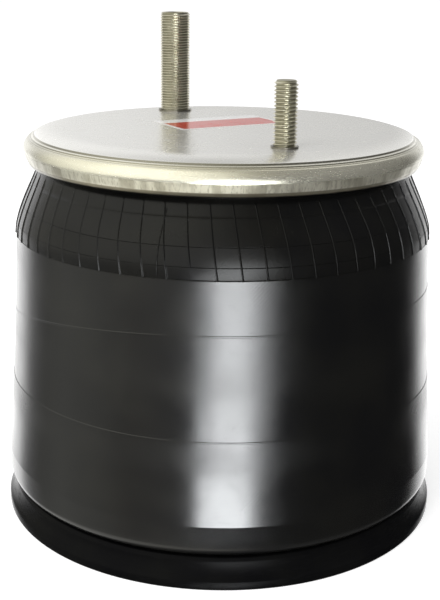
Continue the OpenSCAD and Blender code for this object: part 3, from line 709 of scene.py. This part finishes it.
def belly(x, y, z):  # the band stands out further on the side towards the camera
    middle, full, none = grid["bellySide"]
    return radiusAt(grid["belly"], z) * (1 - smooth(full, none, abs(sideOf(x, y, middle))))


def shoulderRows():
    high, edge = grid["ringHigh"], grid["ringEdge"]
    heights = set(grid["rows"])
    for z in grid["rings"]:
        heights |= {z - edge, z, z + high / 2, z + high, z + high + edge}
    return sorted((z for z in heights if z >= sleeve["foot"]), reverse=True)


def makeShoulder():
    bm = bmesh.new()
    wall, neck, mouth, beadTop = (sleeve[k] for k in ("wall", "neckR", "mouth", "beadTop"))
    inner = [p for p in offset(shoulderCurve, -wall)[::8] if 167.5 < p[1] < 202.5]
    outline = [(neck - wall, mouth), (neck - wall, beadTop), (neck, beadTop), (neck, sleeve["neckLow"])]
    outline += [(radiusAt(shoulderCurve, z), z) for z in shoulderRows()]
    outline += [(shoulderLow[0] - wall, shoulderLow[1])] + inner[::-1]
    geom = drawOutline(bm, outline, closed=True)
    columns = grid["columns"]
    for before, after in zip(columns, columns[1:]):
        geom = bmesh.ops.spin(bm, geom=geom, cent=(0, 0, 0), axis=(0, 0, 1), angle=radians(after - before),
                              steps=1)["geom_last"]
    for v in bm.verts:  # raise the rib and the rings from the smooth band
        r, z = hypot(v.co.x, v.co.y) / mm, v.co.z / mm
        if z > grid["ribTop"] or r < radiusAt(shoulderCurve, z) - 3:
            continue
        turn = atan2(v.co.y, v.co.x) * 180 / pi
        lift = 0.0
        for low, height in grid["rings"].items():
            reach = grid["ringHigh"] / 2 + 0.01 if height > 0 else 0.01
            if abs(z - low - grid["ringHigh"] / 2) < reach:
                lift = height
        column = min(range(len(columns)), key=lambda i: abs(columns[i] - turn))
        if column in grid["ribOut"] and z > grid["ribLow"]:
            lift = grid["ribOut"][column] * min(1.0, (grid["ribTop"] - z) / 3)
            if z < grid["blobTop"]:  # a small blob where each rib ends
                lift += grid["blob"]
        share = 1 + (lift + radiusAt(grid["swell"], z)) / r
        v.co.x *= share
        v.co.y *= share
    whole = bm.verts[:] + bm.edges[:] + bm.faces[:]
    bmesh.ops.spin(bm, geom=whole, cent=(0, 0, 0), axis=(0, 0, 1), angle=2 * pi, steps=grid["ribs"],
                   use_duplicate=True)
    bmesh.ops.remove_doubles(bm, verts=bm.verts, dist=4e-6)
    for v in bm.verts:  # the ribs lean a little
        z = v.co.z / mm
        turn = radians(grid["phase"] + grid["lean"] * (sleeve["foot"] - z) / 38)
        v.co = Matrix.Rotation(turn, 3, "Z") @ v.co
        share = 1 + belly(v.co.x, v.co.y, z) * mm / hypot(v.co.x, v.co.y)
        v.co.x *= share
        v.co.y *= share
    finishMesh(bm, "sleeveShoulderGrid", shoulderRubber, "plate_group",
               ["sleeve_shoulder"], sharp=70)


strayRib = {"low": 167.0, "high": 199.5, "turn": -129.15, "curl": 0.95, "wide": 0.42, "out": 0.46,
            "sunk": 0.1, "root": 0.994}


def makeStrayRib():  # a thin mark that forks off one rib, as moulded
    bm = bmesh.new()
    low, high = strayRib["low"], strayRib["high"]
    for v in bmesh.ops.create_grid(bm, x_segments=6, y_segments=26, size=0.5)["verts"]:
        across, up = v.co.x + 0.5, v.co.y + 0.5
        z = low + (high - low) * up
        turn = radians(strayRib["turn"] + strayRib["curl"] * up ** 2 + strayRib["wide"] * (across - 0.5))
        r = radiusAt(shoulderCurve, z) + radiusAt(grid["swell"], z) + belly(cos(turn), sin(turn), z)
        r += strayRib["out"] * sin(pi * across) - strayRib["sunk"]
        v.co = (r * cos(turn) * mm, r * sin(turn) * mm, z * mm)
    sides = bmesh.ops.extrude_face_region(bm, geom=bm.faces[:])["geom"]
    for v in [g for g in sides if isinstance(g, bmesh.types.BMVert)]:
        v.co.x *= strayRib["root"]
        v.co.y *= strayRib["root"]
    finishMesh(bm, "sleeveStrayRib", shoulderRubber, "plate_group", sharp=60)


def makeWall():
    heights = [166.0, 165.7, 165.2] + [164.0 - 3.2 * i for i in range(40)] + [38.0, 36.8, 36.2, 36.0]
    high, edge = sleeve["lineHigh"], sleeve["lineEdge"]
    raised = {}
    for z in sleeve["lines"]:
        raised.update({z - edge: 0, z: 1, z + high: 1, z + high + edge: 0})
    clear = {z for z in heights if not any(low - 0.9 < z < low + 1.5 for low in sleeve["lines"])}
    outline = [(radiusAt(wallCurve, z) + sleeve["lineOut"] * raised.get(z, 0), z)
               for z in sorted(clear | set(raised), reverse=True)]
    inner = [(r - sleeve["wall"], z) for r, z in outline if z not in raised][::-1]
    bm = bmesh.new()
    lathe(bm, outline + inner, closed=True)
    line = sleeve["lines"][1]
    for v in bm.verts:  # the upper parting line sags on one side
        r, z = hypot(v.co.x, v.co.y) / mm, v.co.z / mm
        side = sideOf(v.co.x, v.co.y)
        away = max(0.0, abs(z - line) - 1.5) / sleeve["sagAbove" if z > line else "sagBelow"]
        sag = 1 - cos(radians(min(0.0, side)))
        sag *= smooth(*sleeve["sagSides"], side) * (1 - smooth(0, 1, away))
        moved = z - sleeve["sag"] * sag
        share = 1 + (radiusAt(wallCurve, moved) - radiusAt(wallCurve, z)) / r
        v.co = (v.co.x * share, v.co.y * share, moved * mm)
    wall = finishMesh(bm, "sleeveWall", sleeveRubber, None, ["sleeve_outer_wall"], sharp=30)
    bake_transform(wall)


def makeLobe():
    r, corner, low, top = (sleeve[k] for k in ("lobeR", "corner", "lobeLow", "lobeTop"))
    wall, inner, bend = sleeve["wall"], sleeve["innerR"], 1.5
    outline = [(inner, top), (inner, 30)]
    outline += arc((inner + corner, low + corner), corner, 180, 270, 8)
    outline += arc((r - corner, low + corner), corner, 270, 360, 14)
    outline += [(r, 27.5), (r, 31), (r, 34), (r, 35.5), (r, top), (r - wall, top)]
    outline += arc((r - wall - bend, low + wall + bend), bend, 0, -90, 4)
    outline += arc((inner + wall + bend, low + wall + bend), bend, -90, -180, 4)
    outline += [(inner + wall, top)]
    bm = bmesh.new()
    lathe(bm, outline, closed=True)
    finishMesh(bm, "sleeveLobe", sleeveRubber, "lobe", ["sleeve_lobe"])


def makeInner():
    inner = sleeve["innerR"]
    low, high = sleeve["innerWall"]
    heights = [low + (high - low) * i / 30 for i in range(31)]
    outline = [(inner, z) for z in heights] + [(inner + sleeve["wall"], z) for z in heights[::-1]]
    bm = bmesh.new()
    lathe(bm, outline, closed=True, steps=160)
    wall = finishMesh(bm, "sleeveInner", innerRubber, None, ["sleeve_inner_wall"])
    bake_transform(wall)


makeShoulder()
makeStrayRib()
makeWall()
makeLobe()
makeInner()


# piston: wall, deck, shelf and flared skirt
piston = {"r": 101.6, "wall": 4.5, "shelf": 17.0, "base": 130.58, "band": 4.6, "height": 150.0,
          "topCorner": 12.0, "shelfCorner": 6.5, "lipCorner": 1.2, "open": 55.5, "deckLow": 143.5}


def makePiston():
    r, wall, shelf, base, band = (piston[k] for k in ("r", "wall", "shelf", "base", "band"))
    top, corner, lip = piston["topCorner"], piston["shelfCorner"], piston["lipCorner"]
    deck, curl = r - top, piston["height"] - top
    outline = [(piston["open"], piston["height"])]
    outline += arc((deck, curl), top, 90, 0, 12)
    outline += [(r, 80)] + arc((r + corner, shelf + corner), corner, 180, 270, 8)
    outline += arc((base - 5.6, shelf - lip), lip, 90, 0, 5)
    outline += cubic((base - 4.1, shelf - 1.6), (base - 3.4, shelf * 0.62), (base - 1.9, band + 2.4),
                     (base - 0.25, band + 0.5), 12)
    outline += [(base, band), (base, 0.5), (base - 0.5, 0)]
    outline += [(base - wall, 0), (base - wall, band), (base - wall - 4, shelf - wall), (r, shelf - wall)]
    outline += [(r, 0), (r - wall, 0), (r - wall, curl), (deck, piston["deckLow"]),
                (piston["open"], piston["deckLow"])]
    bm = bmesh.new()
    lathe(bm, outline, closed=True)
    finishMesh(bm, "pistonSkirt", pistonPlastic, "piston_group", ["piston"], sharp=40)


makePiston()


# plain sticker on the plate: white, with one bar and no words
sticker = {"centre": (5.0, 19.0), "turn": 6.0, "layers": [  # long, deep, shift, bottom, thick
    (69.0, 39.0, 0.0, 225.0, 0.12), (65.0, 25.0, -5.0, 225.12, 0.03)]}


def makeSticker():
    paper = makePlain("stickerPaper", (0.8, 0.79, 0.77), (0.76, 0.75, 0.73), rough=0.2, depth=0.001)
    redInk = makePlain("stickerBar", (0.56, 0.06, 0.035), (0.5, 0.05, 0.03), rough=0.14, depth=0.001,
                       specular=0.8)
    bm = bmesh.new()
    for mark, (long, deep, shift, bottom, thick) in enumerate(sticker["layers"]):
        corners = bmesh.ops.create_grid(bm, x_segments=1, y_segments=1, size=0.5)["verts"]
        bmesh.ops.scale(bm, vec=(long * mm, deep * mm, 1), verts=corners)
        bmesh.ops.translate(bm, vec=(0, shift * mm, bottom * mm), verts=corners)
        sheet = corners[0].link_faces[0]
        sheet.material_index = mark
        raised = bmesh.ops.extrude_face_region(bm, geom=[sheet])["geom"]
        raised = [g for g in raised if isinstance(g, bmesh.types.BMVert)]
        bmesh.ops.translate(bm, vec=(0, 0, thick * mm), verts=raised)
    turn = Matrix.Rotation(radians(sticker["turn"]), 3, "Z")
    bmesh.ops.rotate(bm, cent=(0, 0, 0), matrix=turn, verts=bm.verts)
    bmesh.ops.translate(bm, vec=(sticker["centre"][0] * mm, sticker["centre"][1] * mm, 0), verts=bm.verts)
    finishMesh(bm, "plateSticker", [paper, redInk], "plate_group")


makeSticker()
